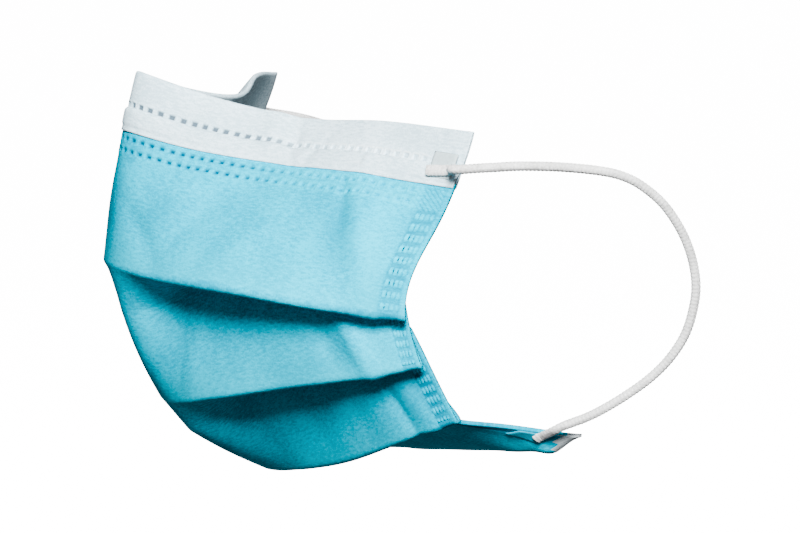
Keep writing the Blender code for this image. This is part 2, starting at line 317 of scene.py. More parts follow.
# %% [markdown]
# ## Creases and tugs
# Worn cloth is never quite smooth. Each row of the first table is one soft dent or ridge: its
# flat place, how long and how wide it is, its angle, and how far it stands out. The second table
# darkens or lightens the cloth's colour in broad patches, which stand in for soft shade that
# the lights here don't give. The third one tugs the cloth in x, y and z where the wearing does,
# as at the far top edge, across the middle, along the sides and at the near lower corner.

# %% Creases, painted shade and tugs
DENT_SCALE = 1.6
# u, v, half length, half width (mm), angle from the u direction (degrees), height (mm),
# which DENT_SCALE multiplies
DENTS = (
    (71, 27, 13, 4.2, 62, 1.3),
    (62.5, 20, 6, 1.6, 66, -0.45),
    (79, 33, 7, 3.0, 75, 0.4),
    (27, 27, 10, 3.2, 137, -0.7),
    (20, 23, 7, 2.6, 140, 0.4),
    (44, 30, 12, 5.0, 125, 0.6),
    (24, 20.2, 6, 0.9, -8, -0.35),
    (12, 33, 8, 2.4, 40, -0.4),
    (41, 6, 6, 1.6, 66, -0.45),
    (34.5, 3.5, 6, 2.6, 70, 0.45),
    (48, 9, 5, 1.2, 110, -0.25),
    (66, 68, 9, 3.4, 72, 0.9),
    (56, 66, 8, 3.0, 80, -0.4),
    (28, 62, 11, 3.0, 160, -0.4),
    (17, 68, 7, 2.6, 120, 0.4),
    (69.5, 102, 8, 1.8, 76, -0.375),
    (76, 102, 9, 3.0, 74, 0.375),
    (60, 100, 7, 4.0, 60, 0.25),
    (36, 100, 10, 3.0, 150, -0.5),
    (-30, 24, 12, 3.5, 50, 0.7),
    (-52, 30, 12, 3.0, 120, -0.7),
    (-70, 24, 11, 3.6, -62, 1.0),
    (-45, 66, 10, 3.0, 95, -0.5),
    (-66, 100, 8, 2.8, -70, 0.7),
    (-8, 26, 12, 3.0, 95, 0.4),
    (14, 136, 12, 3.4, 100, 0.6),
    (-22, 134, 12, 3.4, 80, -0.6),
)
# the same, but the last value is how much painted shade darkens the colour; below 0, painted light
PAINTED_SHADES = (
    (63.5, 24, 13, 5.5, 62, 0.24),
    (76, 31, 10, 2.8, 72, -0.22),
    (27, 28, 11, 4.0, 137, 0.06),
    (62, 66, 8, 4.0, 75, 0.10),
    (74, 68, 7, 3.0, 75, -0.10),
    (14, 66, 9, 7.0, 60, 0.07),
    (76, 99, 16, 9.0, 60, 0.27),
    (-62, 26, 12, 6.0, -60, 0.12),
    (40, 97, 60, 13, 0, 0.13),
    (-40, 97, 40, 13, 0, 0.13),
    (0, 25, 30, 4.5, 90, 0.15),
    (84, 134, 16, 6, 90, 0.5),
    (-84, 134, 16, 6, 90, 0.5),
)
# u, v, half width, half height (mm), and the tug along x, y and z (mm)
TUGS = (
    (-63, 0, 22, 16, 0, 0, 1.9),
    (0, 85, 400, 34, 0, -1.4, 0),
    (88, 22, 12, 12, 0, 1.8, 0),
    (88, 124, 12, 11, 0, 0, -4.4),
    (79.5, 152, 5, 5, 0, 0, -2.4),
    (71, 152, 8, 5, 0, 0, -1.2),
    (-88, 124, 12, 11, 0, 0, -4.4),
)


def soft_spot(a, b, length, width):
    return np.exp(-((a / length)**2) - (b / width)**2)


def summed(table, u, v):
    """The last values of a table of dents or of painted shade, summed at places u, v in millimetres."""
    total = np.zeros(len(u))
    for du, dv, length, width, angle, tall in table:
        a = (u - du) * cos(radians(angle)) + (v - dv) * sin(radians(angle))
        b = (v - dv) * cos(radians(angle)) - (u - du) * sin(radians(angle))
        total += tall * soft_spot(a, b, length, width)
    return total


def cloth(u, v, lift):
    """Worn places of flat places, lift metres out from the cloth's middle."""
    place = read_map(MAP, u, v)
    out = read_map(NORMALS, u, v)
    out /= np.linalg.norm(out, axis=1, keepdims=True)
    height = MM * DENT_SCALE * summed(DENTS, u / MM, v / MM) + lift
    place = place + height[:, None] * out
    for du, dv, wide, tall, x, y, z in TUGS:
        pull = soft_spot(u / MM - du, v / MM - dv, wide, tall)
        place = place + pull[:, None] * np.array((x, y, z)) * MM
    return place


print("dents", len(DENTS), "painted_shades", len(PAINTED_SHADES), "tugs", len(TUGS))


# %% [markdown]
# ## Flat cuts
# A flat piece starts as Blender's grid. Its rows go where they are needed, which is closely
# round the folds, and the places that carry marks are subdivided. Only then is it laid on the
# worn shape. Its flat places stay in a UV map, in metres, for the weave of the cloth.

# %% Making and laying a flat cut
UV_SHIFT = (0.1, 0.02)  # metres, which keeps the UV map's values above zero


def deselect():
    if bpy.context.object and bpy.context.object.mode != "OBJECT":
        bpy.ops.object.mode_set(mode="OBJECT")
    bpy.ops.object.select_all(action="DESELECT")


def flat_cut(name, columns, rows_v, width=2 * HALF_WIDTH):
    """A flat sheet with u along x and v along -y, its rows at rows_v."""
    deselect()
    bpy.ops.mesh.primitive_grid_add(x_subdivisions=columns, y_subdivisions=len(rows_v) - 1, size=2)
    piece = bpy.context.object
    piece.name = name
    co = np.empty(len(piece.data.vertices) * 3)
    piece.data.vertices.foreach_get("co", co)
    co = co.reshape(-1, 3)
    row = (1 - co[:, 1]) / 2 * (len(rows_v) - 1)
    co[:, 0] *= width / 2
    co[:, 1] = -np.interp(row, np.arange(len(rows_v)), rows_v)
    piece.data.vertices.foreach_set("co", co.ravel())
    return piece


def refine(piece, wanted):
    """Subdivide the faces whose centre (u, v) in millimetres passes the test."""
    mesh = piece.data
    for face in mesh.polygons:
        face.select = bool(wanted(face.center.x / MM, -face.center.y / MM))
    for edge in mesh.edges:
        edge.select = False
    for vertex in mesh.vertices:
        vertex.select = False
    for face in mesh.polygons:
        if face.select:
            for vertex in face.vertices:
                mesh.vertices[vertex].select = True
    chosen = np.array([face.select for face in mesh.polygons]).sum()
    bpy.context.view_layer.objects.active = piece
    piece.select_set(True)
    bpy.ops.object.mode_set(mode="EDIT")
    bpy.ops.mesh.select_mode(type="FACE")
    bpy.ops.mesh.subdivide(number_cuts=3)
    bpy.ops.object.mode_set(mode="OBJECT")
    print(piece.name, "subdivided", chosen, "faces, now", len(mesh.polygons))


def flat_places(piece):
    """The u and v of each vertex of a piece that still lies flat, in metres."""
    co = np.empty(len(piece.data.vertices) * 3)
    piece.data.vertices.foreach_get("co", co)
    co = co.reshape(-1, 3)
    return co[:, 0].copy(), -co[:, 1]


def keep_flat_uv(piece, u, v):
    mesh = piece.data
    layer = mesh.uv_layers.active or mesh.uv_layers.new(name="flat")
    layer.name = "flat"
    corners = np.empty(len(mesh.loops), dtype=np.int32)
    mesh.loops.foreach_get("vertex_index", corners)
    uv = np.stack([u[corners] + UV_SHIFT[0], v[corners] + UV_SHIFT[1]], axis=1)
    layer.data.foreach_set("uv", uv.ravel())


def keep_mark_and_shade(piece, values):
    """Marks for the finish: above 0 pressed or in painted shade and darker, below 0 raised or in painted
    light and lighter.
    """
    layer = piece.data.attributes.new("mark_and_shade", "FLOAT", "POINT")
    layer.data.foreach_set("value", np.asarray(values, dtype=np.float32))


def put(piece, places):
    piece.data.vertices.foreach_set("co", places.ravel())
    piece.data.update()


def apply_all(piece):
    deselect()
    piece.select_set(True)
    bpy.context.view_layer.objects.active = piece
    for modifier in list(piece.modifiers):
        bpy.ops.object.modifier_apply(modifier=modifier.name)


def wall(piece, thickness, inner=0):
    """Give a sheet its thickness, half to each side, and its inner side the finish inner slots after its
    own.
    """
    solid = piece.modifiers.new("wall", "SOLIDIFY")
    solid.thickness = thickness
    solid.offset = 0.0
    solid.material_offset = inner
    apply_all(piece)
    piece.data.shade_smooth()


def faces_and_places(piece):
    """Each face with the flat u and v of its first corner, in millimetres."""
    flat = piece.data.uv_layers["flat"].data
    for face in piece.data.polygons:
        place = flat[face.loop_start].uv
        yield face, (place.x - UV_SHIFT[0]) / MM, (place.y - UV_SHIFT[1]) / MM


def turn_blue(piece, seen):
    """Give the first finish to the lining's faces whose flat place passes the test."""
    for face, u, v in faces_and_places(piece):
        if face.material_index == 1 and seen(u, v):
            face.material_index = 0


# where the painted tip of a lower corner starts, and how long it is across and down (mm)
CORNER_TIP = (79, 148)
CORNER_TIP_SIZE = (8.5, 3)


def show_lining(piece):
    """Paint the outer faces of both lower corners like the lining.

    On a worn mask the near corner is twisted and shows its lining. Here it isn't twisted, so
    the lining's finish, grey with painted shade, stands in for that, and the far corner gets it too.
    """
    for face, u, v in faces_and_places(piece):
        across = (abs(u) - CORNER_TIP[0]) / CORNER_TIP_SIZE[0]
        down = (v - CORNER_TIP[1]) / CORNER_TIP_SIZE[1]
        if across + down > 1.0:
            face.material_index = 1


def box_mask(distance, half, soft):
    """1 inside half, 0 outside, with a soft edge."""
    return np.clip((half + soft / 2 - np.abs(distance)) / soft, 0, 1)


print("flat cuts are ready")


# %% [markdown]
# ## Finishes
# Shader maths reads best as plain sums. The small class below wraps a socket, and each sign
# between two of them adds the Math node that it stands for.

# %% A class for shader maths
class Value:
    """A socket that can be added, multiplied and so on like a number."""

    def __init__(self, finish, socket):
        self.finish = finish
        self.socket = socket

    def math(self, operation, *others):
        return self.finish.node("ShaderNodeMath", {"operation": operation}, (self, *others))

    def __add__(self, other):
        return self.math("ADD", other)

    def __mul__(self, other):
        return self.math("MULTIPLY", other)

    def __sub__(self, other):
        return self.math("SUBTRACT", other)

    def __rsub__(self, other):
        return self.finish.node("ShaderNodeMath", {"operation": "SUBTRACT"}, (other, self))


class Finish:
    """A material whose nodes are added by type, settings and socket values."""

    def __init__(self, name):
        self.material = bpy.data.materials.new(name)
        self.material.use_nodes = True
        self.tree = self.material.node_tree
        self.shader = self.tree.nodes["Principled BSDF"]

    def fill(self, socket, item):
        if isinstance(item, Value):
            self.tree.links.new(item.socket, socket)
        else:
            socket.default_value = item

    def node(self, kind, settings=None, values=(), output=0):
        made = self.tree.nodes.new(kind)
        for key, setting in (settings or {}).items():
            setattr(made, key, setting)
        pairs = values.items() if isinstance(values, dict) else enumerate(values)
        for key, item in pairs:
            self.fill(made.inputs[key], item)
        return Value(self, made.outputs[output])

    def mix(self, factor, first, second):
        settings = {"data_type": "RGBA", "clamp_factor": True}
        return self.node("ShaderNodeMix", settings, {0: factor, 6: first, 7: second}, output=2)

    def noise(self, place, scale, detail=2.0, roughness=0.5):
        values = {"Vector": place, "Scale": scale, "Detail": detail, "Roughness": roughness}
        return self.node("ShaderNodeTexNoise", None, values)

    def set(self, **values):
        for key, item in values.items():
            self.fill(self.shader.inputs[key.replace("_", " ")], item)


print("finishes can be mixed")

# %% [markdown]
# Spunbond nonwoven is a mat of fine fibres that lie at random, pressed together at many small
# points. Three noises, each stretched along its own direction, give the fibres, a finer one
# gives the fuzz, and a broad one the cloudiness of an uneven mat.


# %% Nonwoven cloth
FIBRE_STRETCH = 3
CLOTH_ROUGHNESS = 0.85
CLOTH_RELIEF = 0.42


def fibres(finish, place, angle, scale):
    turned_place = finish.node("ShaderNodeMapping", None, {
        "Vector": place,
        "Rotation": (0, 0, radians(angle)),
        "Scale": (1, FIBRE_STRETCH, 1),
    })
    return finish.noise(turned_place, scale, 2.0, 0.55)


def nonwoven(name, light, dark, pressed, raised_and_lit):
    """A cloth finish with its two fibre colours, and the colours its marks and painted shade turn it to.
    """
    finish = Finish(name)
    flat = finish.node("ShaderNodeUVMap", {"uv_map": "flat"})
    mat = fibres(finish, flat, 25, 620)
    mat = mat + fibres(finish, flat, -38, 560)
    mat = mat + fibres(finish, flat, 80, 640)
    grain = finish.noise(flat, 2600, 2.0, 0.6)
    cloud = finish.noise(flat, 90, 3.0, 0.55)
    mark_and_shade = finish.node("ShaderNodeAttribute", {"attribute_name": "mark_and_shade"}, (), output=2)
    tone = (mat - 1.5) * 1.5 + (grain - 0.5) * 2.0 + (cloud - 0.5) * 1.7 + 0.5
    cloth_colour = finish.mix(tone, (*dark, 1), (*light, 1))
    # pressed marks and painted shade turn the cloth towards the pressed colour, raised marks and painted
    # light towards the other
    cloth_colour = finish.mix(mark_and_shade, cloth_colour, (*pressed, 1))
    finish.set(Base_Color=finish.mix(mark_and_shade * -1.0, cloth_colour, (*raised_and_lit, 1)))
    finish.set(Roughness=CLOTH_ROUGHNESS - mark_and_shade * 0.2)
    finish.set(Specular_IOR_Level=0.12)
    surface = mat * 0.5 + grain
    finish.set(Normal=finish.node("ShaderNodeBump", None, {
        "Strength": CLOTH_RELIEF, "Distance": 0.00012, "Height": surface,
    }))
    return finish.material


cover_cloth = nonwoven(
    "cover_blue_cloth", (0.020, 0.60, 0.79), (0.008, 0.40, 0.56), (0.002, 0.12, 0.21), (0.06, 0.74, 0.90)
)
white_cloth = nonwoven(
    "band_white_cloth", (0.72, 0.87, 0.94), (0.50, 0.66, 0.73), (0.14, 0.19, 0.23), (0.86, 0.95, 0.98)
)
# the lining is white cloth; its greys are painted shade
lining_cloth = nonwoven(
    "lining_cloth_painted_shade", (0.60, 0.65, 0.67), (0.48, 0.53, 0.55), (0.30, 0.33, 0.34), (0.70, 0.73, 0.74)
)
print("cloth finishes:", cover_cloth.name, white_cloth.name)

# %% [markdown]
# ## The blue cover and its lining
# The cover is one sheet from under the band to the bottom edge. Its marks are pressed in by
# the rollers that weld the layers: two rows of small squares below the band, and short raised
# bars down each side.

# %% Rows of the cover
COVER_TOP = 11.4
MARKED_TOP = 12.9
MARKED_BOTTOM = 17.8
# from, to (mm down the cloth) and how many rows of faces
ROW_PLAN = (
    (COVER_TOP, MARKED_TOP, 2), (MARKED_TOP, MARKED_BOTTOM, 4), (MARKED_BOTTOM, 40.4, 20),
    (40.4, 41.4, 2),
    (41.4, 44.0, 7), (44.0, 50.4, 4), (50.4, 53.0, 6),
    (53.0, 74.6, 19), (74.6, 75.6, 2),
    (75.6, 78.2, 7), (78.2, 83.2, 3), (83.2, 85.8, 6),
    (85.8, 107.2, 19), (107.2, 108.2, 2),
    (108.2, 110.8, 7), (110.8, 117.4, 4), (117.4, 120.0, 6),
    (120.0, 151.0, 26),
)
cover_rows = [COVER_TOP * MM]
for start, stop, count in ROW_PLAN:
    cover_rows += list(np.linspace(start, stop, count + 1)[1:] * MM)
print("cover rows", len(cover_rows))


# %% Marks pressed into the cover
DOT_PITCH = 2.5
DOT_HALF = (0.70, 0.58)
RIM_HALF = (1.02, 0.92)
DOT_SOFT = 0.3
DOTS_END = 78
COVER_DOT_ROWS = (14.1, 16.6)
# towards the cheek the dots pale and their rims get painted highlights
NOSE_SIDE = (30, 52)  # the dots turn from their nose look to their cheek look between these


def dot(across, down, half):
    return box_mask(across, half[0], DOT_SOFT) * box_mask(down, half[1], DOT_SOFT)


def dots(u, v, rows):
    """Pressed squares and their rims, each from 0 to 1; u and v are in millimetres."""
    along = repeat(u, DOT_PITCH)
    square = np.zeros(len(u))
    rim = np.zeros(len(u))
    for row in rows:
        square = np.maximum(square, dot(along, v - row, DOT_HALF))
        rim = np.maximum(rim, dot(along, v - row, RIM_HALF))
    seen = np.abs(u) < DOTS_END
    return square * seen, (rim - square).clip(0) * seen


def dot_marks_and_highlights(u, square, rim):
    """Pressed squares, darkest towards the nose and paler towards the cheek, where their rims get
    painted highlights.
    """
    cheek = np.clip((np.abs(u) - NOSE_SIDE[0]) / (NOSE_SIDE[1] - NOSE_SIDE[0]), 0, 1)
    # the rims' lightening, growing towards the cheek, is painted highlight
    return square * (1.0 - 0.72 * cheek) - rim * (0.08 + 0.42 * cheek)


SEAL_RANGES = ((18.5, 41.0), (62.0, 75.0), (94.5, 107.5))
SEAL_MIDDLE = 4.2
SEAL_HALF = 2.9
BAR_PITCH = (1.3, 2.5)
BAR_HALF = (0.3, 0.62)
FIRST_BAR = 2.2
BARS_ACROSS = (1.6, 6.7)
RIB_PITCH = 1.1
RIB_SLOPE = 0.8
FINE_SIDE = 8.6


def from_side(u):
    """How far a place lies in from the side edge, in millimetres."""
    return HALF_WIDTH / MM - np.abs(u)


def repeat(distance, pitch):
    """The distance from the nearest of marks that stand a pitch apart."""
    return (distance + pitch / 2) % pitch - pitch / 2


def seal_strip(u):
    """1 on the welded strip along each side, where bars stand."""
    return box_mask(from_side(u) - SEAL_MIDDLE, SEAL_HALF, 0.8)


def seal_bars(u, v):
    """Short bars in the welded strip, beside the panels' outer faces."""
    inward = from_side(u)
    bars = box_mask(repeat(inward - FIRST_BAR, BAR_PITCH[0]), BAR_HALF[0], 0.3)
    bars = bars * (inward > BARS_ACROSS[0]) * (inward < BARS_ACROSS[1])
    bars = bars * box_mask(repeat(v, BAR_PITCH[1]), BAR_HALF[1], 0.4)
    seen = np.zeros(len(u))
    for start, stop in SEAL_RANGES:
        seen = np.maximum(seen, (v > start) * (v < stop))
    return bars * seen


def corner_ribs(u, v):
    """Slanted ribs at the top corners of the blue."""
    inward = from_side(u)
    ribs = box_mask(repeat(inward * RIB_SLOPE + v, RIB_PITCH), 0.25, 0.3)
    return ribs * box_mask(v - 15.9, 2.6, 0.6) * box_mask(inward - 5.5, 4.0, 0.6)


def on_cover_strip(u, v):
    """The places that carry marks, which need finer faces."""
    side = from_side(u) < FINE_SIDE
    seen = any(start - 1 < v < stop + 0.5 for start, stop in SEAL_RANGES)
    return (MARKED_TOP < v < MARKED_BOTTOM) or (side and seen) or (side and MARKED_TOP < v < 19)


cover = flat_cut("cover_sheet", 140, cover_rows)
refine(cover, on_cover_strip)

# %% Laying the cover
PRESSED = 0.34
RAISED = 0.2
COVER_WALL = 0.9
LAP = 9
LAP_FADE = 8
SEAM_INSIDE = 83.5
SEAM_STARTS = (40, 74, 107)
SEAM_LENGTH = 12


def doubled(v):
    """How far the cloth is paler above each fold and the bottom edge, fading in from LAP above."""
    found = np.zeros(len(v))
    for fold in STRETCH_ENDS[1::2] / MM:
        found = np.maximum(found, np.clip((v - fold + LAP) / LAP_FADE, 0, 1) * (v <= fold))
    return found


def under_seam(u, v):
    """Lining faces at the pleats' side edges, where only blue layers show."""
    return abs(u) > SEAM_INSIDE and any(start < v < start + SEAM_LENGTH for start in SEAM_STARTS)


u, v = flat_places(cover)
square, rim = dots(u / MM, v / MM, COVER_DOT_ROWS)
bars = np.maximum(seal_bars(u / MM, v / MM), corner_ribs(u / MM, v / MM))
strip = seal_strip(u / MM) * (v > 13 * MM)
lift = MM * (RAISED * (0.5 * rim + bars) - PRESSED * square - 0.1 * strip)
marks = dot_marks_and_highlights(u / MM, square, rim) + 0.42 * strip * (1 - bars) - 0.34 * bars
marks = np.where(bars + rim + square > 0.05, marks, marks - 0.22 * doubled(v / MM))
# broad patches of painted shade and painted light
marks += summed(PAINTED_SHADES, u / MM, v / MM)
keep_flat_uv(cover, u, v)
keep_mark_and_shade(cover, marks)
put(cover, cloth(u, v, lift))
cover.data.materials.append(cover_cloth)
cover.data.materials.append(lining_cloth)
wall(cover, COVER_WALL * MM, inner=1)
turn_blue(cover, under_seam)
show_lining(cover)
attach(cover, "root")
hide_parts("pleated_body")
print("cover", len(cover.data.polygons), "faces")

# %% [markdown]
# ## The white band
# A strip of white nonwoven is folded over the top edge. Its outer leg is welded to the cover by
# one row of squares, and the nose wire lies below them, which shows as a flat ridge.

# %% Band profile
BAND_OUTER = 12.5
BAND_FOLD = 1.4
BAND_INNER = 12.4
BAND_MIDDLE = -0.2
BAND_HALF = 0.45
BAND_WALL = 0.3
SIDE_PRESS = 0.36  # how far apart the legs lie at the side edge, as a share of elsewhere
BAND_DOT_ROWS = (6.8,)
# down from the top edge and how far out the outer leg's middle lies (mm)
BAND_PROFILE = (
    (0.0, 0.25), (1.5, 0.28), (5.6, 0.28), (7.0, 0.16), (7.5, 0.16), (8.0, 0.82),
    (10.8, 0.82), (11.4, 0.56), (12.5, 0.64),
)


def band_place(u, v):
    """Worn places on the band, and how far down from the top edge each one lies.

    v runs from the outer leg's lower edge (0) over the fold to the inner leg's edge. The legs
    are pressed together at the sides, but not where the outer one lies over the cover.
    """
    outer_end = BAND_OUTER * MM
    fold_end = outer_end + BAND_FOLD * MM
    down = np.zeros(len(u))
    lift = np.zeros(len(u))
    profile = np.array(BAND_PROFILE) * MM
    outer = v < outer_end
    down[outer] = outer_end - v[outer]
    lift[outer] = np.interp(down[outer], profile[:, 0], profile[:, 1])
    turn = (v >= outer_end) & (v < fold_end)
    angle = (v[turn] - outer_end) / (fold_end - outer_end) * pi
    lift[turn] = MM * (BAND_MIDDLE + BAND_HALF * np.cos(angle))
    down[turn] = -BAND_HALF * MM * np.sin(angle)
    inner = v >= fold_end
    down[inner] = v[inner] - fold_end
    lift[inner] = (BAND_MIDDLE - BAND_HALF) * MM
    pressed = np.clip((HALF_WIDTH - np.abs(u)) / (2.5 * MM), SIDE_PRESS, 1)
    pressed = 1 + (pressed - 1) * np.clip((11.5 * MM - down) / (3 * MM), 0, 1)
    lift = BAND_MIDDLE * MM + (lift - BAND_MIDDLE * MM) * pressed
    above = np.minimum(down, 0)
    place = cloth(u, np.maximum(down, 0), lift)
    edge_down = read_map(MAP, u, np.full(len(u), 0.5 * MM)) - read_map(MAP, u, np.zeros(len(u)))
    edge_down /= np.linalg.norm(edge_down, axis=1, keepdims=True)
    return place + above[:, None] * edge_down, down


band_length = BAND_OUTER + BAND_FOLD + BAND_INNER
outer_rows = list(np.linspace(0, 5.0, 13))
outer_rows += list(np.linspace(5.3, 7.6, 5))
outer_rows += list(np.linspace(8.3, BAND_OUTER, 7))
fold_rows = list(BAND_OUTER + BAND_FOLD * np.arange(1, 9) / 8)
inner_rows = list(np.linspace(BAND_OUTER + BAND_FOLD, band_length, 9)[1:])
band = flat_cut("band_sheet", 280, np.array(outer_rows + fold_rows + inner_rows) * MM)
refine(band, lambda u, v: 4.5 < v < 7.0)

# %% Laying the band
u, v = flat_places(band)
places, down = band_place(u, v)
on_outside = v < BAND_OUTER * MM
square, rim = (found * on_outside for found in dots(u / MM, down / MM, BAND_DOT_ROWS))
out = read_map(NORMALS, u, np.maximum(down, 0))
wire_end = box_mask(np.abs(u) / MM - 63.3, 0.5, 0.5) * box_mask(down / MM - 9.6, 1.5, 0.6)
wire_end = wire_end * on_outside
places = places + (MM * (0.1 * rim - 0.3 * square + 0.25 * wire_end))[:, None] * out
keep_flat_uv(band, u, v)
# the wire's end also gets painted shade, which darkens the small ridge that it pushes up
keep_mark_and_shade(band, dot_marks_and_highlights(u / MM, square, rim) + 0.22 * wire_end)
put(band, places)
band.data.materials.append(white_cloth)
wall(band, BAND_WALL * MM)
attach(band, "root")
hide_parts("top_band")
print("band", len(band.data.polygons), "faces")

# %% [markdown]
# ## The ear loops
# A loop is a round knitted elastic, about 2 mm thick. Its ends are pressed flat where they are
# welded to the corners. The tube is swept along its route by hand-made rings, so that the
# stitches can stand out as real bumps.

# %% Loop routes
CURVE_STEPS = 16
LEFT_ROUTE = (
    (68.4, 45.2, -14.8), (70.3, 46.4, -14.8), (72.0, 47.8, -14.7), (72.9, 50.5, -14.5),
    (73.3, 54.5, -14.4), (73.7, 60.2, -14.3), (74.5, 68.4, -14.7), (75.5, 76.8, -15.7),
    (76.0, 82.1, -17.1), (76.3, 86.4, -19.5), (76.5, 90.8, -23.4), (76.5, 94.6, -28.9),
    (76.0, 97.1, -34.5), (75.5, 98.3, -40.3), (74.5, 98.1, -45.6), (73.3, 96.8, -51.0),
    (71.7, 94.1, -56.0), (69.7, 90.5, -60.3), (67.1, 85.9, -64.3), (64.6, 81.7, -67.4),
    (62.5, 79.0, -69.2), (60.9, 76.9, -70.3), (59.5, 75.0, -71.3), (58.3, 73.6, -72.3),
    (56.9, 72.7, -73.6), (55.5, 72.4, -74.9),
)
RIGHT_ROUTE = (
    (-68.4, 45.2, -14.8), (-70.3, 46.4, -15.1), (-72.0, 47.8, -15.8), (-73.5, 52.0, -17.0),
    (-76.0, 60.5, -18.8), (-79.8, 68.5, -21.3), (-83.8, 76.5, -24.6), (-87.2, 83.8, -29.2),
    (-89.6, 89.6, -35.2), (-90.8, 92.8, -41.8), (-90.9, 93.6, -48.6), (-89.4, 92.4, -55.2),
    (-86.0, 89.6, -60.8), (-81.3, 86.6, -64.9), (-75.8, 83.6, -67.8), (-70.0, 80.8, -69.8),
    (-65.0, 78.1, -70.9), (-60.5, 75.3, -71.5), (-58.3, 73.6, -72.3), (-56.9, 72.7, -73.6),
    (-55.5, 72.4, -74.9),
)


def smooth_route(route, spacing):
    """Evenly spaced points on a smooth curve through a route's points, all in metres."""
    points = np.array(route)
    points = np.concatenate([[2 * points[0] - points[1]], points, [2 * points[-1] - points[-2]]])
    fine = []
    for a, b, c, d in zip(points, points[1:], points[2:], points[3:]):
        for t in np.arange(CURVE_STEPS) / CURVE_STEPS:
            fine.append(0.5 * (
                2 * b + (c - a) * t + (2 * a - 5 * b + 4 * c - d) * t**2
                + (3 * b - a - 3 * c + d) * t**3
            ))
    fine.append(points[-2])
    fine = np.array(fine)
    length = np.linalg.norm(np.diff(fine, axis=0), axis=1).sum()
    return evenly(fine, max(8, round(length / spacing) + 1)), length


print("left loop", round(smooth_route(np.array(LEFT_ROUTE) * MM, 0.001)[1], 4), "m")


# %% Knitted elastic
LOOP_SIDES = 24
KNIT = 0.06  # how far the stitches stand out, as a share of the loop's half width
WALE_SIDES = 4  # sides of the tube to one column of stitches
STITCH_LENGTH = 0.00085
RING_SPACING = 0.00021


def elastic():
    finish = Finish("loop_knit")
    flat = finish.node("ShaderNodeUVMap", {"uv_map": "flat"})
    grain = finish.noise(flat, 1900, 3.0, 0.6)
    cloud = finish.noise(flat, 260, 2.0, 0.5)
    tone = (grain - 0.5) * 1.5 + (cloud - 0.5) + 0.55
    finish.set(Base_Color=finish.mix(tone, (0.44, 0.44, 0.43, 1), (0.86, 0.86, 0.85, 1)))
    finish.set(Roughness=0.8, Sheen_Weight=0.2, Sheen_Roughness=0.5)
    finish.set(Normal=finish.node("ShaderNodeBump", None, {
        "Strength": 0.5, "Distance": 0.0001, "Height": grain,
    }))
    return finish.material


loop_knit = elastic()


def sweep(name, path, outs, half_wide, half_thick):
    """A tube through path with its own half width and half thickness at each point."""
    ahead = np.gradient(path, axis=0)
    ahead /= np.linalg.norm(ahead, axis=1, keepdims=True)
    outs = outs - (outs * ahead).sum(1, keepdims=True) * ahead
    outs /= np.linalg.norm(outs, axis=1, keepdims=True)
    sideways = np.cross(ahead, outs)
    lengths = np.concatenate([[0], np.cumsum(np.linalg.norm(np.diff(path, axis=0), axis=1))])
    deselect()
    rings = len(path)
    bpy.ops.mesh.primitive_grid_add(x_subdivisions=LOOP_SIDES, y_subdivisions=rings - 1, size=2)
    tube = bpy.context.object
    tube.name = name
    co = np.empty(len(tube.data.vertices) * 3)
    tube.data.vertices.foreach_get("co", co)
    co = co.reshape(-1, 3)
    side = np.round((co[:, 0] + 1) / 2 * LOOP_SIDES).astype(int)
    ring = np.round((1 - co[:, 1]) / 2 * (rings - 1)).astype(int)
    angle = 2 * pi * side / LOOP_SIDES
    lag = 2.2 * np.abs(((side / WALE_SIDES) % 1) - 0.5) * 2
    stitch = np.cos(2 * pi * lengths[ring] / STITCH_LENGTH + lag)
    groove = np.cos(2 * pi * side / WALE_SIDES)
    swell = 1 + KNIT * stitch + 0.4 * KNIT * groove
    place = (
        path[ring]
        + (half_wide[ring] * swell * np.cos(angle))[:, None] * sideways[ring]
        + (half_thick[ring] * swell * np.sin(angle))[:, None] * outs[ring]
    )
    keep_flat_uv(tube, side / LOOP_SIDES * 2 * pi * MM, lengths[ring])
    put(tube, place)
    tube.select_set(True)
    bpy.context.view_layer.objects.active = tube
    bpy.ops.object.mode_set(mode="EDIT")
    bpy.ops.mesh.select_all(action="SELECT")
    bpy.ops.mesh.remove_doubles(threshold=0.000004)
    bpy.ops.mesh.select_all(action="SELECT")
    bpy.ops.mesh.fill_holes(sides=0)
    bpy.ops.mesh.select_all(action="SELECT")
    bpy.ops.mesh.normals_make_consistent(inside=False)
    bpy.ops.object.mode_set(mode="OBJECT")
    tube.data.shade_smooth()
    return tube, lengths[-1]


def weld_path(sign, v_start, v_end, inset, lift):
    """Places and outward directions of a flat end, from deep in the weld to the side edge."""
    steps = 7
    inward = np.linspace(inset, 1.2, steps) * MM
    u = sign * (HALF_WIDTH - inward)
    v = np.linspace(v_start, v_end, steps) * MM
    return cloth(u, v, lift * MM), read_map(NORMALS, u, v)


LOOP_HALF = 0.95
FIRM_END = 0.0062  # metres from each end over which the flat side keeps one direction
FLAT_END = 8.5
FLAT_FADE = 4.0


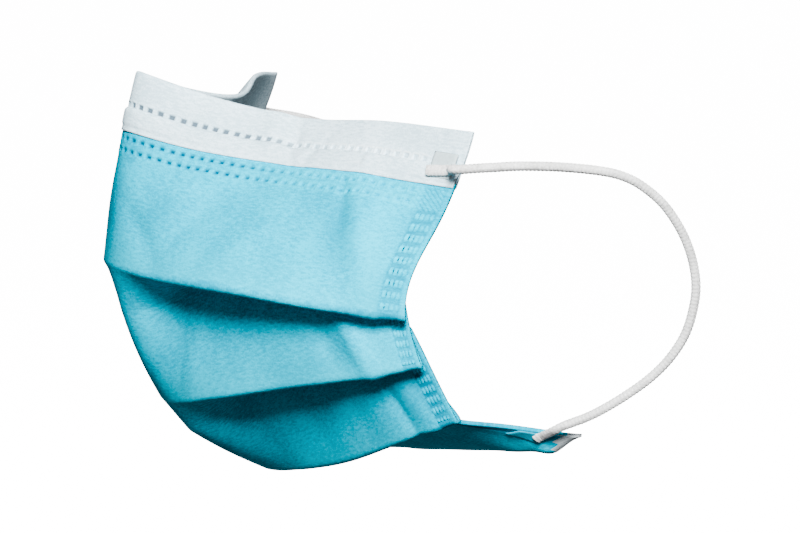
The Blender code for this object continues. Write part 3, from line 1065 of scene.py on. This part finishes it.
def ear_loop(name, route, sign, node):
    """A loop from its upper weld to its lower one, pressed flat towards both ends.

    Its welded ends follow the cloth and take the place of the route's outermost points.
    """
    top, top_out = weld_path(sign, 9.6, 8.6, 7.6, 1.45)
    low, low_out = weld_path(sign, 145.6, 145.0, 4.6, 1.2)
    middle = np.array(route[1:-2]) * MM
    path, length = smooth_route(np.concatenate([top, middle, low[::-1]]), RING_SPACING)
    share = np.linspace(0, 1, len(path))[:, None]
    outs = top_out[-1] * (1 - share) + low_out[-1] * share
    for index in range(len(path)):
        if share[index, 0] * length < FIRM_END:
            outs[index] = top_out[3]
        if (1 - share[index, 0]) * length < FIRM_END:
            outs[index] = low_out[3]
    along = share[:, 0] * length / MM
    flat = np.clip((FLAT_END - np.minimum(along, length / MM - along)) / FLAT_FADE, 0, 1)
    half_wide = (LOOP_HALF + 0.2 * flat) * MM
    half_thick = (LOOP_HALF - 0.45 * flat) * MM
    tube, length = sweep(name, path, outs, half_wide, half_thick)
    tube.data.materials.append(loop_knit)
    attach(tube, "root")
    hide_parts(node)
    print(name, round(length, 4), "m,", len(tube.data.polygons), "faces")


ear_loop("loop_left", LEFT_ROUTE, 1, "ear_loop_left")
ear_loop("loop_right", RIGHT_ROUTE, -1, "ear_loop_right")

# %% [markdown]
# ## The welds
# Each loop end is pressed into the corner by a ribbed die, which leaves a thin shiny patch
# with a fine grid in it.


# %% Weld patches
def weld_cloth(name, light, dark):
    finish = Finish(name)
    flat = finish.node("ShaderNodeUVMap", {"uv_map": "flat"})
    grain = finish.noise(flat, 1500, 2.0, 0.6)
    finish.set(Base_Color=finish.mix(grain, (*dark, 1), (*light, 1)), Roughness=0.5)
    finish.set(Normal=finish.node("ShaderNodeBump", None, {
        "Strength": 0.3, "Distance": 0.0001, "Height": grain,
    }))
    return finish.material


top_weld_cloth = weld_cloth("weld_on_white", (0.56, 0.66, 0.68), (0.40, 0.49, 0.51))
low_weld_cloth = weld_cloth("weld_on_blue", (0.03, 0.38, 0.50), (0.01, 0.24, 0.34))


PATCH_HALF = (3.1, 3.0)
PATCH_INSET = 4.5
GRID_PITCH = 0.85
GRID_HEIGHT = 0.07
RIM_DROP = 0.25
PATCH_WALL = 0.25


def weld_patch(name, sign, v_middle, lift, node, material):
    """A thin patch with a pressed grid, whose rim drops onto the cloth."""
    half_u, half_v = PATCH_HALF
    patch = flat_cut(name, 22, np.linspace(-half_v, half_v, 23) * MM, width=2 * half_u * MM)
    u, v = flat_places(patch)
    grid = np.cos(2 * pi * u / (GRID_PITCH * MM)) * np.cos(2 * pi * v / (GRID_PITCH * MM))
    rim = np.maximum(np.abs(u) / (half_u * MM), np.abs(v) / (half_v * MM))
    drop = RIM_DROP * np.clip((rim - 0.88) / 0.12, 0, 1)
    height = (lift + GRID_HEIGHT * grid - drop) * MM
    flat_u = sign * (HALF_WIDTH - PATCH_INSET * MM) + u
    flat_v = v_middle * MM + v
    keep_flat_uv(patch, flat_u, flat_v)
    put(patch, cloth(flat_u, flat_v, height))
    patch.data.materials.append(material)
    wall(patch, PATCH_WALL * MM)
    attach(patch, "root")
    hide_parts(node)


for side, sign in (("left", 1), ("right", -1)):
    weld_patch("weld_patch_top_" + side, sign, 7.9, 0.98, "loop_weld_top_" + side, top_weld_cloth)
    weld_patch("weld_patch_low_" + side, sign, 144.2, 0.75, "loop_weld_bottom_" + side, low_weld_cloth)
print("weld patches made")

# %% [markdown]
# ## The nose wire
# The wire is a flat strip out of sight in the band, and only its ridge and its ends show.

# %% Wire
WIRE_HALF = 61.0
WIRE_TOP = 8.2
WIRE_BOTTOM = 10.8
WIRE_LIFT = 0.2
WIRE_WALL = 0.3
wire_finish = Finish("wire_metal")
wire_place = wire_finish.node("ShaderNodeTexCoord", None, (), output=3)
wire_grain = wire_finish.noise(wire_place, 900, 2.0, 0.5)
wire_finish.set(Metallic=1.0, Base_Color=(0.75, 0.76, 0.78, 1), Roughness=wire_grain * 0.2 + 0.35)
wire_rows = np.linspace(WIRE_TOP, WIRE_BOTTOM, 5) * MM
wire = flat_cut("wire_strip", 160, wire_rows, width=2 * WIRE_HALF * MM)
u, v = flat_places(wire)
keep_flat_uv(wire, u, v)
put(wire, cloth(u, v, WIRE_LIFT * MM))
wire.data.materials.append(wire_finish.material)
wall(wire, WIRE_WALL * MM)
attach(wire, "root")
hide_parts("nose_wire")
print("wire", len(wire.data.polygons), "faces")

# %% [markdown]
# ## Floor and light
# A plain pale floor lies well below, because a worn mask is held up. It glows, so that it is
# white in the picture, and is hidden from diffuse and glossy rays, so that its glow doesn't
# light the mask. A small strong light above the camera gives the pleats their shadows, a weak
# broad one beside it opens them, and a third stands behind the mask on its far side.

# %% Floor
FLOOR_DROP = 0.35
FLOOR_GLOW = 4.2
deselect()
bpy.ops.mesh.primitive_grid_add(
    x_subdivisions=8, y_subdivisions=8, size=24, location=(0, 0, -FLOOR_DROP)
)
floor = bpy.context.object
floor.name = "floor"
bpy.ops.object.transform_apply(location=True, rotation=False, scale=False)
floor_finish = Finish("floor_pale")
floor_place = floor_finish.node("ShaderNodeTexCoord", None, (), output=3)
floor_tone = floor_finish.noise(floor_place, 3, 2.0, 0.5)
floor_colour = floor_finish.mix(floor_tone, (0.90, 0.90, 0.90, 1), (0.94, 0.94, 0.94, 1))
floor_finish.set(Base_Color=floor_colour, Roughness=0.9)
floor_finish.set(Emission_Color=(1, 1, 1, 1), Emission_Strength=FLOOR_GLOW)
floor.data.materials.append(floor_finish.material)
floor.visible_diffuse = False
floor.visible_glossy = False
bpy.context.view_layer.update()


# %% Lights
LIT_PLACE = Vector((0.03, 0.03, -0.04))


def soft_light(name, azimuth, elevation, distance, size, watts):
    """A square light that looks at the mask from an azimuth and an elevation."""
    data = bpy.data.lights.new(name, "AREA")
    data.size = size
    data.energy = watts
    thing = bpy.data.objects.new(name, data)
    a = radians(azimuth)
    e = radians(elevation)
    away = Vector((sin(a) * cos(e), -cos(a) * cos(e), sin(e)))
    thing.location = LIT_PLACE + distance * away
    thing.rotation_euler = away.to_track_quat("Z", "Y").to_euler()
    bpy.context.scene.collection.objects.link(thing)


soft_light("key", 72, 33, 1.1, 0.34, 25)
soft_light("fill", 60, 20, 1.4, 0.9, 0.6)
soft_light("back", 215, 35, 1.4, 0.9, 6)
world = bpy.data.worlds.new("studio")
world.use_nodes = True
background = world.node_tree.nodes["Background"]
background.inputs["Color"].default_value = (0.93, 0.96, 1.0, 1)
background.inputs["Strength"].default_value = 0.15
bpy.context.scene.world = world
print("lights and world set")
